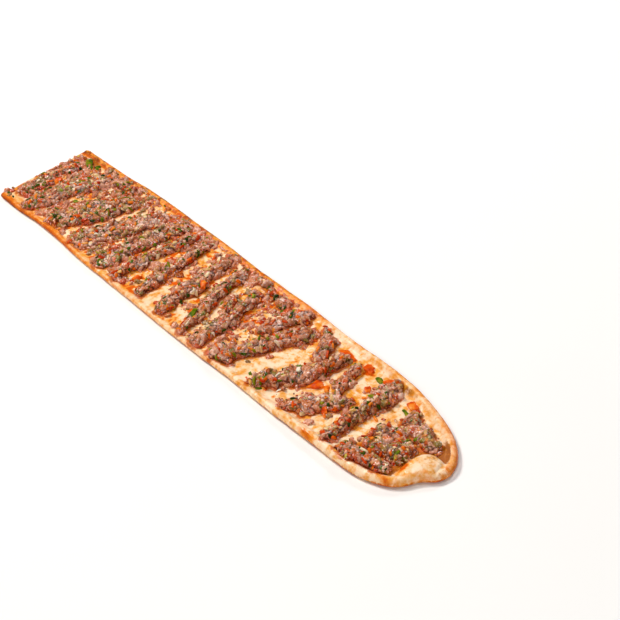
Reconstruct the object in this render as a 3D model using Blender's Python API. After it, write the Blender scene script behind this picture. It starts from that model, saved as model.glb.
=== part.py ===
"""Half of a long flatbread topped with minced meat, cut straight across one end and rounded at the other.

The dough is one thin closed solid with a raised rim and, at the rounded tip, a lip of dough folded over.
The topping is a row of separate minced meat ridges laid across the dough, with the largest vegetable pieces
between them. Sizes are in millimetres, along x from the cut end and along y from the middle line, until
make_object turns them to metres. The origin is under the middle of the finished piece, with +X to the tip.
"""

import math

import bmesh
import bpy
import numpy as np

# Dough outline
TIP_X = 534.4  # outermost point of the rounded end
LOWER_HALF_WIDTH = 47.6  # -Y edge, along the straight stretch
LOWER_END_HALF_WIDTH = 45.0  # -Y edge, where its rounding starts
LOWER_ROUND_X = 474.0
UPPER_HALF_WIDTH = 47.6  # +Y edge, near the cut end
UPPER_END_HALF_WIDTH = 41.4  # +Y edge, where its rounding starts
UPPER_ROUND_X = 423.0
UPPER_BULGE = 2.4  # the +Y edge swells a little about this far along
UPPER_BULGE_X = 142.0
UPPER_BULGE_REACH = 46.0
EDGE_WAVE = 0.5  # hand-stretched unevenness of both edges
CUT_SLANT = 5.0  # the cut ends this much further out at its +Y corner
CUT_WAVE = 0.9
CUT_FADE = 18.0  # how far along the dough the unevenness of the cut is felt

# Dough section
BASE_THICKNESS = 3.2
FAR_RIM_RISE = 1.3  # rim above the base near the cut end
TIP_RIM_RISE = 3.6  # rim above the base round the tip
FAR_RIM_WIDTH = 6.5
TIP_RIM_WIDTH = 9.5
RIM_GROWTH_FROM_X = 300.0
RIM_GROWTH_TO_X = 470.0
RIM_CREST_SHARE = 0.42  # share of the rim's width that is its rounded crest
EDGE_MID = 0.42  # height of the outermost line, as a share of the height beside it
EDGE_ROUNDING = 0.62  # radius of the upper edge, as a share of the height beside it
UNDER_ROUNDING = 2.4  # radius of the lower edge
SURFACE_WAVE = 0.25

# Folded lip at the tip
LIP_CENTRE = (523.5, -9.5)
LIP_HALF_SIZE = (13.5, 17.0)
LIP_RISE = 6.6
LIP_DENT_CENTRE = (523.0, -33.0)  # the outline pulls in here beside the lip
LIP_DENT_DEPTH = 1.8
LIP_DENT_REACH = 6.0

# Topping
GAP = 0.3  # touching pieces keep this much clear
NEIGHBOUR_GAP = 0.45
FAR_BORDER = 4.6  # bare dough beside the topping near the cut end
TIP_BORDER = 7.6  # and round the tip
LIP_CLEARANCE = 1.24  # topping stays outside the lip's outline times this
CUT_CLEARANCE = 0.4

# Each meat ridge: three points along its middle line, its width at both ends, and its height
MEAT_RIDGES = [
    ((15.0, -44.0), (16.0, -12.0), (17.0, 24.0), 30.0, 28.0, 4.6),
    ((43.0, -43.0), (48.0, -10.0), (62.0, 32.0), 29.0, 28.0, 4.8),
    ((79.0, -42.0), (94.0, -14.0), (114.0, 31.0), 36.0, 28.0, 5.0),
    ((77.0, 36.0), (87.0, 32.0), (97.0, 35.0), 17.0, 15.0, 4.0),
    ((120.0, -43.0), (132.0, -18.0), (150.0, 34.0), 27.0, 32.0, 4.8),
    ((162.0, -43.0), (168.0, -8.0), (174.0, 41.0), 28.0, 34.0, 5.0),
    ((193.0, -43.0), (190.0, -10.0), (197.0, 38.0), 27.0, 26.0, 4.8),
    ((227.0, -38.0), (215.0, -4.0), (214.0, 38.0), 24.0, 24.0, 5.0),
    ((252.0, -43.0), (247.0, -8.0), (239.0, 38.0), 25.0, 28.0, 5.4),
    ((287.0, -43.0), (275.0, -3.0), (262.0, 37.0), 16.0, 23.0, 5.2),
    ((281.0, 7.0), (287.0, 3.0), (293.0, -3.0), 17.0, 17.0, 4.6),
    ((308.0, -43.0), (303.0, -10.0), (295.0, 25.0), 23.0, 22.0, 5.8),
    ((281.0, 36.0), (301.0, 34.0), (320.0, 30.0), 17.0, 18.0, 4.4),
    ((333.0, -43.0), (338.0, -17.0), (362.0, 25.0), 29.0, 21.0, 6.0),
    ((331.0, 0.0), (335.0, 19.0), (346.0, 34.0), 15.0, 25.0, 5.2),
    ((371.0, -38.0), (389.0, -18.0), (401.0, 25.0), 29.0, 25.0, 6.0),
    ((365.0, 34.0), (376.0, 25.0), (388.0, 12.0), 17.0, 17.0, 5.0),
    ((410.0, -39.0), (425.0, -21.0), (435.0, -1.0), 26.0, 21.0, 5.6),
    ((412.0, 25.0), (418.0, 10.0), (426.0, -2.0), 14.0, 14.0, 4.6),
    ((452.0, -41.0), (456.0, -10.0), (448.0, 31.0), 20.0, 30.0, 6.4),
    ((477.0, 23.0), (494.0, 19.0), (516.0, 8.0), 34.0, 26.0, 5.0),
    ((464.0, -37.0), (484.0, -35.0), (506.0, -27.0), 20.0, 20.0, 4.8),
    ((470.0, -12.0), (488.0, -10.0), (508.0, -11.0), 30.0, 36.0, 5.6),
]

# Each large vegetable piece: its name, material, the two ends of its middle line, width and height
VEGETABLE_PIECES = [
    ("pepper_piece_01", "green_pepper", (17.0, 36.0), (34.0, 27.0), 9.0, 4.4),
    ("tomato_piece_01", "tomato", (24.0, -3.0), (31.0, -1.0), 8.0, 5.2),
    ("tomato_piece_02", "tomato", (200.0, -32.0), (208.0, -29.0), 7.5, 4.6),
    ("tomato_piece_03", "tomato", (201.0, -1.0), (203.0, 6.0), 7.0, 4.6),
    ("tomato_piece_04", "tomato", (415.0, 31.0), (425.0, 28.0), 8.0, 4.6),
    ("tomato_piece_05", "tomato", (465.0, 28.0), (474.0, 25.0), 8.5, 5.0),
]

# How finely the solids are divided
STRAIGHT_STATIONS = 34
ROUND_STATIONS = 18
OUTLINE_STEPS = 260
RIM_STEPS = (0.0, 0.5, 1.5, 3.0, 4.6, 6.2, 7.8, 9.6, 12.5)  # distances in from the edge
INNER_STEPS = (0.82, 0.64, 0.46, 0.23)  # then these shares of what is left to the middle line
RIDGE_STATIONS = 15
FITTING_STEPS = 4  # places between two stations where a ridge's room is tested
TRIM_STEPS = 60  # places where a ridge's line is tested before its ends are trimmed to the open dough
RIDGE_COLUMNS = (-1.0, -0.93, -0.7, -0.3, 0.3, 0.7, 0.93, 1.0)
BLUNT_END = 3.6  # how square a ridge's ends are in plan
OUTLINE_WAVE = 0.14  # how far a ridge's sides swell and shrink, as a share of its width
WAVE_TURNS = 2.3
WAVE_SHIFT = 2.4  # each ridge's swelling starts this much further on than the last one's
DOME_POWER = 2.6  # how steep its sides are
LEAST_HALF_WIDTH = 1.6

COLOURS = {
    "baked_dough": ((0.83, 0.60, 0.36, 1.0), 0.62),
    "minced_meat": ((0.34, 0.17, 0.12, 1.0), 0.45),
    "green_pepper": ((0.13, 0.24, 0.04, 1.0), 0.38),
    "tomato": ((0.62, 0.12, 0.03, 1.0), 0.35),
}


def smooth_step(value, start, end):
    share = np.clip((np.asarray(value, float) - start) / (end - start), 0.0, 1.0)
    return share * share * (3.0 - 2.0 * share)


def material(name):
    """Principled material with the part's colour and roughness."""
    found = bpy.data.materials.get(name)
    if found:
        return found
    made = bpy.data.materials.new(name)
    made.use_nodes = True
    shader = made.node_tree.nodes["Principled BSDF"]
    colour, roughness = COLOURS[name]
    shader.inputs["Base Color"].default_value = colour
    shader.inputs["Roughness"].default_value = roughness
    shader.inputs["Metallic"].default_value = 0.0
    made.diffuse_color = colour
    return made


def cut_x(y):
    """Where the cut end lies at this y: a slightly slanting, slightly wavy line."""
    y = np.asarray(y, float)
    slant = CUT_SLANT * (0.5 - y / (2.0 * UPPER_HALF_WIDTH))
    return np.maximum(slant, 0.0) + CUT_WAVE * (1.0 + np.sin(y / 9.0))


def lower_edge(x):
    """Distance of the -Y edge from the middle line: straight, then a quarter ellipse to the tip."""
    taper = (LOWER_HALF_WIDTH - LOWER_END_HALF_WIDTH) * smooth_step(x, RIM_GROWTH_FROM_X, LOWER_ROUND_X)
    share = np.clip((x - LOWER_ROUND_X) / (TIP_X - LOWER_ROUND_X), 0.0, 1.0)
    wave = EDGE_WAVE * np.sin(x / 21.0) * (1.0 - share)
    return (LOWER_HALF_WIDTH - taper + wave) * np.sqrt(1.0 - share**2)


def upper_edge(x):
    """Distance of the +Y edge: a slow taper with one swelling, then a longer quarter ellipse to the tip."""
    taper = (UPPER_HALF_WIDTH - UPPER_END_HALF_WIDTH) * np.clip(x / UPPER_ROUND_X, 0.0, 1.0)
    bulge = UPPER_BULGE * np.exp(-(((x - UPPER_BULGE_X) / UPPER_BULGE_REACH) ** 2))
    share = np.clip((x - UPPER_ROUND_X) / (TIP_X - UPPER_ROUND_X), 0.0, 1.0)
    wave = EDGE_WAVE * np.sin(x / 17.0 + 1.0) * (1.0 - share)
    return (UPPER_HALF_WIDTH - taper + bulge + wave) * np.sqrt(1.0 - share**2)


def edge_line(edge, round_x, side):
    """Points of one long edge from the cut end to the tip, evenly spaced along it."""
    straight = np.linspace(0.0, round_x, OUTLINE_STEPS)[:-1]
    angle = np.linspace(0.0, math.pi / 2.0, OUTLINE_STEPS)
    x = np.concatenate([straight, round_x + (TIP_X - round_x) * np.sin(angle)])
    y = side * edge(x)
    y[-1] = 0.0
    away = np.hypot(x - LIP_DENT_CENTRE[0], y - LIP_DENT_CENTRE[1]) / LIP_DENT_REACH
    dent = LIP_DENT_DEPTH * np.exp(-(away**2))
    x = x - 0.6 * dent
    y = y - side * 0.8 * dent
    length = np.concatenate([[0.0], np.cumsum(np.hypot(np.diff(x), np.diff(y)))])
    even = np.linspace(0.0, length[-1], OUTLINE_STEPS)
    return np.column_stack([np.interp(even, length, x), np.interp(even, length, y)])


LOWER_LINE = edge_line(lower_edge, LOWER_ROUND_X, -1.0)
UPPER_LINE = edge_line(upper_edge, UPPER_ROUND_X, 1.0)


def distance_to_lines(points, lines):
    """Shortest distance from each point to any of the lines."""
    best = np.full(len(points), np.inf)
    for line in lines:
        start, run = line[:-1], np.diff(line, axis=0)
        offset = points[:, None, :] - start[None]
        share = np.clip((offset * run).sum(2) / np.maximum((run**2).sum(1), 1e-12), 0.0, 1.0)
        nearest = offset - share[..., None] * run
        best = np.minimum(best, np.sqrt((nearest**2).sum(2)).min(1))
    return best


def edge_distance(points):
    return distance_to_lines(points, [LOWER_LINE, UPPER_LINE])


def lip_reach(points):
    """0 at the lip's centre and 1 on its outline."""
    x = (points[:, 0] - LIP_CENTRE[0]) / LIP_HALF_SIZE[0]
    y = (points[:, 1] - LIP_CENTRE[1]) / LIP_HALF_SIZE[1]
    return np.hypot(x, y)


def dough_height(points, inward):
    """Full height of the dough beside a point: base, rim crest and folded lip, before the edge is rounded."""
    growth = smooth_step(points[:, 0], RIM_GROWTH_FROM_X, RIM_GROWTH_TO_X)
    rise = FAR_RIM_RISE + (TIP_RIM_RISE - FAR_RIM_RISE) * growth
    width = FAR_RIM_WIDTH + (TIP_RIM_WIDTH - FAR_RIM_WIDTH) * growth
    fall = np.clip((inward / width - RIM_CREST_SHARE) / (1.0 - RIM_CREST_SHARE), 0.0, 1.0)
    rim = rise * 0.5 * (1.0 + np.cos(math.pi * fall))
    lip = LIP_RISE * np.sqrt(np.clip(1.0 - lip_reach(points) ** 3, 0.0, 1.0))
    wave = SURFACE_WAVE * np.sin(points[:, 0] / 19.0) * np.sin(points[:, 1] / 15.0 + 0.7)
    return BASE_THICKNESS + np.maximum(rim, lip) + wave


def dough_top(points):
    """Height of the dough's upper surface, rounded over at the edge."""
    inward = edge_distance(points)
    height = dough_height(points, inward)
    over = np.clip(1.0 - inward / (EDGE_ROUNDING * height), 0.0, 1.0)
    return height * (EDGE_MID + (1.0 - EDGE_MID) * np.sqrt(1.0 - over**2))


def dough_under(points):
    """Height of the dough's underside, which is flat except where it rounds up to the edge."""
    inward = edge_distance(points)
    under = np.clip(1.0 - inward / UNDER_ROUNDING, 0.0, 1.0)
    return EDGE_MID * dough_height(points, inward) * (1.0 - np.sqrt(1.0 - under**2))


def make_object(name, vertices, faces, material_name, centre):
    """One closed mesh object, in metres, with its faces turned outwards."""
    mesh = bpy.data.meshes.new(name)
    shifted = (np.asarray(vertices) - centre) * 0.001
    mesh.from_pydata(shifted.tolist(), [], faces)
    work = bmesh.new()
    work.from_mesh(mesh)
    bmesh.ops.remove_doubles(work, verts=work.verts, dist=0.000002)
    bmesh.ops.dissolve_degenerate(work, dist=0.000002, edges=work.edges)
    bmesh.ops.triangulate(work, faces=work.faces)
    bmesh.ops.recalc_face_normals(work, faces=work.faces)
    work.to_mesh(mesh)
    work.free()
    mesh.materials.append(material(material_name))
    mesh.shade_smooth()
    made = bpy.data.objects.new(name, mesh)
    bpy.context.scene.collection.objects.link(made)
    return made


def dough_half(side_line, spine_x):
    """Rings of one half: for each station, points from the underside's middle round the edge to the top's."""
    rows = []
    for edge_point, x in zip(side_line, spine_x):
        middle = np.array([x, 0.0])
        run = edge_point - middle
        reach = np.hypot(*run)
        shares = [1.0 - step / reach for step in RIM_STEPS]
        shares += [step * shares[-1] for step in INNER_STEPS] + [0.0]
        top = middle + np.array(shares)[:, None] * run
        under_shares = [0.0, 1.0 - 2.0 * UNDER_ROUNDING / reach, 1.0 - 0.5 * UNDER_ROUNDING / reach]
        under = middle + np.array(under_shares)[:, None] * run
        for block in (under, top):
            fade = np.exp(-block[:, 0] / CUT_FADE)
            block[:, 0] += cut_x(block[:, 1]) * fade
        flat = np.concatenate([under, top])
        height = np.concatenate([dough_under(under), dough_top(top)])
        rows.append(np.column_stack([flat, height]))
    return np.array(rows)


def dough_solid():
    """Vertices and faces of the whole dough: two halves of rings that meet along the middle line and at the tip."""
    round_from = LOWER_ROUND_X / TIP_X * 0.92
    stations = np.concatenate(
        [np.linspace(0.0, round_from, STRAIGHT_STATIONS)[:-1], np.linspace(round_from, 1.0, ROUND_STATIONS)]
    )
    steps = np.linspace(0.0, 1.0, OUTLINE_STEPS)
    lower = np.column_stack([np.interp(stations, steps, LOWER_LINE[:, axis]) for axis in (0, 1)])
    upper = np.column_stack([np.interp(stations, steps, UPPER_LINE[:, axis]) for axis in (0, 1)])
    spine = (lower[:, 0] + upper[:, 0]) / 2.0 - 30.0 * smooth_step(stations, 0.72, 1.0)
    halves = [dough_half(lower, spine), dough_half(upper, spine)]
    count, ring = halves[0].shape[:2]
    vertices = np.concatenate([half.reshape(-1, 3) for half in halves])
    faces = []
    for half in (0, 1):
        for i in range(count - 1):
            for k in range(ring - 1):
                a = half * count * ring + i * ring + k
                faces.append((a, a + 1, a + ring + 1, a + ring))
    first = list(range(ring))
    second = [count * ring + k for k in range(ring)]
    faces.append(first + second[::-1][1:-1])
    return vertices, faces


def ridge_curve(points, t):
    """A smooth curve through three points, as positions and unit normals to its left."""
    a, b, c = (np.array(point) for point in points)
    control = 2.0 * b - 0.5 * (a + c)
    t = np.asarray(t)[:, None]
    line = (1 - t) ** 2 * a + 2 * t * (1 - t) * control + t**2 * c
    along = 2 * (1 - t) * (control - a) + 2 * t * (c - control)
    along = along / np.hypot(along[:, 0], along[:, 1])[:, None]
    return line, np.column_stack([-along[:, 1], along[:, 0]])


def on_open_dough(points):
    """True where the points lie inside the bare border and clear of the lip and of the cut."""
    growth = smooth_step(points[:, 0], RIM_GROWTH_FROM_X, RIM_GROWTH_TO_X)
    border = FAR_BORDER + (TIP_BORDER - FAR_BORDER) * growth
    clear = (edge_distance(points) >= border) & (lip_reach(points) >= LIP_CLEARANCE)
    return clear & (points[:, 0] >= cut_x(points[:, 1]) + CUT_CLEARANCE)


def all_mounds():
    """Every piece of topping as a dictionary of its name, material, middle line, widths and height."""
    mounds = []
    for number, (start, middle, end, width_a, width_b, height) in enumerate(MEAT_RIDGES, 1):
        name = f"meat_ridge_{number:02d}"
        mounds.append(dict(name=name, material="minced_meat", points=(start, middle, end),
                           widths=(width_a, width_b), height=height, at_cut=number == 1))
    for name, kind, start, end, width, height in VEGETABLE_PIECES:
        middle = ((start[0] + end[0]) / 2.0, (start[1] + end[1]) / 2.0)
        mounds.append(dict(name=name, material=kind, points=(start, middle, end),
                           widths=(width, width), height=height, at_cut=False))
    share = (1.0 - np.cos(np.linspace(0.0, math.pi, FITTING_STEPS * (RIDGE_STATIONS - 1) + 1))) / 2.0
    for number, mound in enumerate(mounds):
        trial = np.linspace(0.0, 1.0, TRIM_STEPS)
        kept = trial[on_open_dough(ridge_curve(mound["points"], trial)[0])]
        line, normal = ridge_curve(mound["points"], kept[0] + (kept[-1] - kept[0]) * share)
        mound["line"], mound["normal"], mound["share"] = line, normal, share
        wide = mound["widths"][0] + (mound["widths"][1] - mound["widths"][0]) * share
        blunt = (1.0 - np.abs(2.0 * share - 1.0) ** BLUNT_END) ** (1.0 / BLUNT_END)
        wave = OUTLINE_WAVE if mound["material"] == "minced_meat" else 0.0
        swell = 1.0 + wave * np.sin(2.0 * math.pi * WAVE_TURNS * share + WAVE_SHIFT * number)
        mound["half_width"] = 0.5 * wide * blunt * swell
        mound["fatness"] = float(np.mean(wide)) / 2.0
    return mounds


def has_room(point, mound, mounds):
    """True where the point lies on open dough, clear of the vegetables and nearer to this ridge than to any other."""
    at = np.array([point])
    if not on_open_dough(at)[0]:
        return False
    if mound["material"] != "minced_meat":
        return True
    own = distance_to_lines(at, [mound["line"]])[0] / mound["fatness"]
    for other in mounds:
        if other is mound:
            continue
        away = distance_to_lines(at, [other["line"]])[0]
        reach = own if other["material"] == "minced_meat" else 1.0
        if away < reach * other["fatness"] + NEIGHBOUR_GAP:
            return False
    return True


def fitted_half_widths(mound, mounds, side):
    """Half widths of one side of a mound, pulled in until they clear the rim, the lip, the cut and the neighbours.

    Each station takes the tightest fit found near it.
    """
    shares = np.ones(len(mound["half_width"]))
    for i in range(1, len(shares) - 1):
        while shares[i] * mound["half_width"][i] > LEAST_HALF_WIDTH:
            point = mound["line"][i] + side * shares[i] * mound["half_width"][i] * mound["normal"][i]
            if has_room(point, mound, mounds):
                break
            shares[i] *= 0.95
    stations = range(0, len(shares), FITTING_STEPS)
    near = FITTING_STEPS - 1
    tightest = [shares[max(i - near, 0):i + near + 1].min() for i in stations]
    return mound["half_width"][::FITTING_STEPS] * np.array(tightest)


def mound_solid(mound, mounds):
    """A steep-sided loaf along the mound's line. Its underside follows the dough at the gap above it."""
    left = fitted_half_widths(mound, mounds, 1.0)
    right = fitted_half_widths(mound, mounds, -1.0)
    line, normal, share = (mound[key][::FITTING_STEPS] for key in ("line", "normal", "share"))
    count = len(left)
    vertices, rows, floor_rows = [], [], []
    for i in range(count):
        columns = [0.0] if i in (0, count - 1) else RIDGE_COLUMNS
        row = []
        for column in columns:
            half = left[i] if column > 0.0 else right[i]
            flat = line[i] + column * half * normal[i]
            floor = dough_top(np.array([flat]))[0] + GAP
            end = 1.0 - abs(2.0 * share[i] - 1.0) ** 6
            power = 14.0 if mound["at_cut"] and column > 0.0 else DOME_POWER
            dome = math.sqrt(max((1.0 - abs(column) ** power) * end, 0.0))
            row.append(len(vertices))
            vertices.append((flat[0], flat[1], floor + mound["height"] * dome))
        rows.append(row)
        if len(row) > 1:
            flat = line[i]
            floor_rows.append([row[0], len(vertices), row[-1]])
            vertices.append((flat[0], flat[1], dough_top(np.array([flat]))[0] + GAP))
        else:
            floor_rows.append(row)
    faces = []
    for table in (rows, floor_rows):
        for upper, lower in zip(table[:-1], table[1:]):
            longest = max(len(upper), len(lower))
            for k in range(longest - 1):
                corners = [upper[min(k, len(upper) - 1)], upper[min(k + 1, len(upper) - 1)],
                           lower[min(k + 1, len(lower) - 1)], lower[min(k, len(lower) - 1)]]
                faces.append(list(dict.fromkeys(corners)))
    return vertices, faces


def main():
    for old in list(bpy.data.objects):
        bpy.data.objects.remove(old, do_unlink=True)
    vertices, faces = dough_solid()
    lowest, highest = vertices.min(0), vertices.max(0)
    centre = np.array([(lowest[0] + highest[0]) / 2.0, (lowest[1] + highest[1]) / 2.0, lowest[2]])
    make_object("dough", vertices, faces, "baked_dough", centre)
    mounds = all_mounds()
    for mound in mounds:
        vertices, faces = mound_solid(mound, mounds)
        make_object(mound["name"], vertices, faces, mound["material"], centre)


main()
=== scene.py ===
import math

import bmesh
import bpy
import numpy as np
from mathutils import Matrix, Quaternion, Vector


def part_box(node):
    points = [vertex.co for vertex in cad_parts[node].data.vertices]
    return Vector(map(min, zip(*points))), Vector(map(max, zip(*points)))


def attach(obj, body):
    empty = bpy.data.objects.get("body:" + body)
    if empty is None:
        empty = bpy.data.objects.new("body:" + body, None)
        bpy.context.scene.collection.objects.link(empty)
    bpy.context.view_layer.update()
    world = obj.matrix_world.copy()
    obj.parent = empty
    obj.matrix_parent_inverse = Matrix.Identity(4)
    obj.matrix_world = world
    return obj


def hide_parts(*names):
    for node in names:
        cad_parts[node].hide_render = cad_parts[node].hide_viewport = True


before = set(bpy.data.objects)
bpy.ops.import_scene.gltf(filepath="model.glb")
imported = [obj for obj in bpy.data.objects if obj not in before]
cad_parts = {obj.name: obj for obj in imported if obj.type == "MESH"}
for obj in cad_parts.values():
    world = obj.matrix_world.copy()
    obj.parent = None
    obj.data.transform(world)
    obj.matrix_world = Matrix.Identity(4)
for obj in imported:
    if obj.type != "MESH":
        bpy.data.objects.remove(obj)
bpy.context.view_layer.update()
print("frame loaded with", len(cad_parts), "nodes")

metre = 1000.0  # millimetres
mendDistance = 2e-6  # metres within which two points are one

studio = {
    "cameraPlace": (0.7368, -0.3933, 0.6254),  # metres
    "cameraAim": (0.0642, 0.0441, 0.0001),
    "cameraRoll": -8,  # degrees, so that the near end hangs a little
    "cameraLens": 78.39,  # mm
    "sensorWidth": 36,
    "nearest": 0.01,  # metres, the closest that the camera sees
    "floorSize": 8,
    "floorDrop": 0.0002,  # metres that the floor lies below the underside
    "floorTones": {0.3: "f4f4f3", 0.7: "f7f7f6"},
    "airColour": "ffcf90",  # what the surroundings reflect on the food: warm and dim
    "airStrength": 0.07,
    "backdropColour": "fcfcfa",  # what is seen past the floor's edge
    "fadeFrom": 0.5,  # metres from the middle, where the floor starts to go over into the backdrop
    "fadeTo": 1.2,
    # name, place and aim in metres, size in metres, watts, colour
    "lamps": (
        ("keySoftbox", (-1.86, -0.4, 2.7), (0, 0, 0), 0.9, 85, "fffcf6"),
        ("backSoftbox", (-0.6, 2.4, 1.7), (0.1, 0, 0), 0.6, 22, "fafaff"),
        ("overheadSoftbox", (0.3, 0, 3.4), (0.1, 0, 0), 1.6, 28, "eef5ff"),
        ("frontFill", (2, -2.4, 2.2), (0.1, 0, 0), 1.6, 42, "fffdfa"),
    ),
}


def hexToLinear(code):
    # Each sRGB channel to linear: straight below 0.04045 and a 2.4 power above it
    channels = [int(code[i:i + 2], 16) / 255 for i in (0, 2, 4)]
    linear = [c / 12.92 if c <= 0.04045 else ((c + 0.055) / 1.055) ** 2.4 for c in channels]
    return (*linear, 1)


def addNode(tree, kind, inputs=None, stops=None, **settings):
    # One node with its settings, its inputs and a ramp's stops. An input is a value, a hex colour, a socket,
    # or a node, whose first output in use feeds it.
    node = tree.nodes.new("ShaderNode" + kind)
    for key, value in settings.items():
        setattr(node, key, value)
    for key, value in (inputs or {}).items():
        if isinstance(value, bpy.types.Node):
            value = next(output for output in value.outputs if output.enabled)
        if isinstance(value, bpy.types.NodeSocket):
            tree.links.new(value, node.inputs[key])
        else:
            node.inputs[key].default_value = hexToLinear(value) if isinstance(value, str) else value
    if stops:
        elements = node.color_ramp.elements
        while len(elements) < len(stops):
            elements.new(1)
        for element, (position, colour) in zip(elements, stops.items()):
            element.position = position
            element.color = hexToLinear(colour)
    return node


def startMaterial(name, fields=(), noises=()):
    # A new material with an empty tree, the piece's coordinates and point attributes, and noises on those
    # coordinates by their scale per metre, detail and roughness
    material = bpy.data.materials.new(name)
    material.use_nodes = True
    tree = material.node_tree
    tree.nodes.clear()
    place = addNode(tree, "TexCoord").outputs["Object"]
    fields = [addNode(tree, "Attribute", attribute_name=key).outputs["Fac"] for key in fields]
    noises = [
        addNode(tree, "TexNoise", {"Vector": place, "Scale": scale, "Detail": detail, "Roughness": roughness})
        for scale, detail, roughness in noises]
    return material, tree, place, fields, noises


def finishMaterial(material, shader):
    # The shader's output to the material's surface
    addNode(material.node_tree, "OutputMaterial", {"Surface": shader})
    return material


def standObject(name, data, place=(0, 0, 0), aim=None, roll=0):
    # A new object at its place, looking along the line to its aim and then rolled about that line
    thing = bpy.data.objects.new(name, data)
    thing.location = place
    if aim is not None:
        turned = (Vector(aim) - Vector(place)).to_track_quat("-Z", "Y")
        thing.rotation_mode = "QUATERNION"
        thing.rotation_quaternion = turned @ Quaternion((0, 0, 1), math.radians(roll))
    bpy.context.scene.collection.objects.link(thing)
    return thing


def addVariation(tree, field, noise, amount):
    # A field plus a noise brought round zero, up to half the amount either way
    around = addNode(tree, "Math", {0: noise, 1: amount, 2: -amount / 2}, operation="MULTIPLY_ADD")
    return addNode(tree, "Math", {0: field, 1: around}, operation="ADD", use_clamp=True)


def rangeInputs(*ends):
    # Two ends of a range and the two that they become, or 0 and 1 where those aren't given
    return dict(zip(("From Min", "From Max", "To Min", "To Max"), ends))


def makeFloorMaterial():
    # Matt painted board: pale and even, with only a faint drift of tone, going over into the backdrop far out
    material, tree, place, _, (drift,) = startMaterial("mattPaintedBoard", (), ((3, 2, 0.5),))
    tone = addNode(tree, "ValToRGB", {"Fac": drift}, studio["floorTones"])
    board = addNode(tree, "BsdfPrincipled", {"Base Color": tone, "Roughness": 0.9, "Specular IOR Level": 0.2})
    away = addNode(tree, "VectorMath", {0: place}, operation="LENGTH")
    fade = addNode(tree, "MapRange", {"Value": away, **rangeInputs(studio["fadeFrom"], studio["fadeTo"])},
                   interpolation_type="SMOOTHSTEP")
    seen = addNode(tree, "Math", {0: fade, 1: addNode(tree, "LightPath")}, operation="MULTIPLY")
    glow = addNode(tree, "Emission", {"Color": studio["backdropColour"]})
    return finishMaterial(material, addNode(tree, "MixShader", {0: seen, 1: board, 2: glow}))


def buildStudio():
    # Camera, disc lamps, a warm dim air behind which the camera sees the backdrop, and the floor
    scene = bpy.context.scene
    scene.view_settings.view_transform = "Standard"
    lens = bpy.data.cameras.new("camera")
    lens.lens = studio["cameraLens"]
    lens.sensor_width = studio["sensorWidth"]
    lens.clip_start = studio["nearest"]
    cameraFacts = [studio[key] for key in ("cameraPlace", "cameraAim", "cameraRoll")]
    scene.camera = standObject("camera", lens, *cameraFacts)
    for name, place, aim, size, watts, colour in studio["lamps"]:
        light = bpy.data.lights.new(name, "AREA")
        light.shape = "DISK"
        light.size = size
        light.energy = watts
        light.color = hexToLinear(colour)[:3]
        standObject(name, light, place, aim)
    scene.world = bpy.data.worlds.new("studioAir")
    scene.world.use_nodes = True
    tree = scene.world.node_tree
    tree.nodes.clear()
    air = addNode(tree, "Background", {"Color": studio["airColour"], "Strength": studio["airStrength"]})
    backdrop = addNode(tree, "Background", {"Color": studio["backdropColour"]})
    either = addNode(tree, "MixShader", {0: addNode(tree, "LightPath"), 1: air, 2: backdrop})
    addNode(tree, "OutputWorld", {"Surface": either})
    half = studio["floorSize"] / 2
    mesh = bpy.data.meshes.new("floor")
    mesh.from_pydata([(-half, -half, 0), (half, -half, 0), (half, half, 0), (-half, half, 0)],
                     [], [(0, 1, 2, 3)])
    mesh.materials.append(makeFloorMaterial())
    standObject("floor", mesh, (0, 0, -studio["floorDrop"]))
    print("studio ready")


buildStudio()


def smoothStep(value, start, end):
    # From 0 before the start to 1 past the end, as 3s² - 2s³ of the share of the way
    share = unit((np.asarray(value, float) - start) / (end - start))
    return share * share * (3 - 2 * share)


def smoothDrop(value, start, end):
    # The same from 1 down to 0
    return 1 - smoothStep(value, start, end)


def unit(values):
    # Kept from 0 to 1
    return np.clip(values, 0, 1)


def lengthOf(vectors):
    # Root of the sum of squares along the last axis, kept as a column
    return np.sqrt((vectors**2).sum(-1, keepdims=True))


def cellRandom(cell, seed):
    # A fixed number from 0 to 1 for each whole-number cell: its indices times primes, mixed bit by bit
    mixed = (cell[..., 0] * 73856093) ^ (cell[..., 1] * 19349663) ^ (cell[..., 2] * 83492791) ^ (seed * 7919)
    mixed = mixed & 0xFFFFFFFF
    mixed = ((mixed ^ (mixed >> 13)) * 1274126177) & 0xFFFFFFFF
    mixed = ((mixed ^ (mixed >> 15)) * 668265263) & 0xFFFFFFFF
    return (mixed ^ (mixed >> 16)) / 4294967295


def smoothNoise(points, size, seed):
    # From -1 to 1: the random numbers of the eight corners round each point, blended with smooth steps
    scaled = points / size
    cell = np.floor(scaled).astype(np.int64)
    part = scaled - cell
    part = part * part * (3 - 2 * part)
    total = np.zeros(points.shape[:-1])
    for corner in np.ndindex(2, 2, 2):
        weight = np.prod(np.where(corner, part, 1 - part), axis=-1)
        total += weight * cellRandom(cell + np.array(corner), seed)
    return 2 * total - 1


def layeredNoise(points, size, seed, layers=3):
    # Smooth noise, plus itself at half the size and half the strength, and so on
    total, strength, reach = 0, 1, 0
    for layer in range(layers):
        total = total + strength * smoothNoise(points, size / 2**layer, seed + 31 * layer)
        reach += strength
        strength *= 0.5
    return total / reach


def planNoise(flat, size, seed, layers=3):
    # Layered noise at plan points
    return layeredNoise(flatAt(flat), size, seed, layers)


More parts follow.
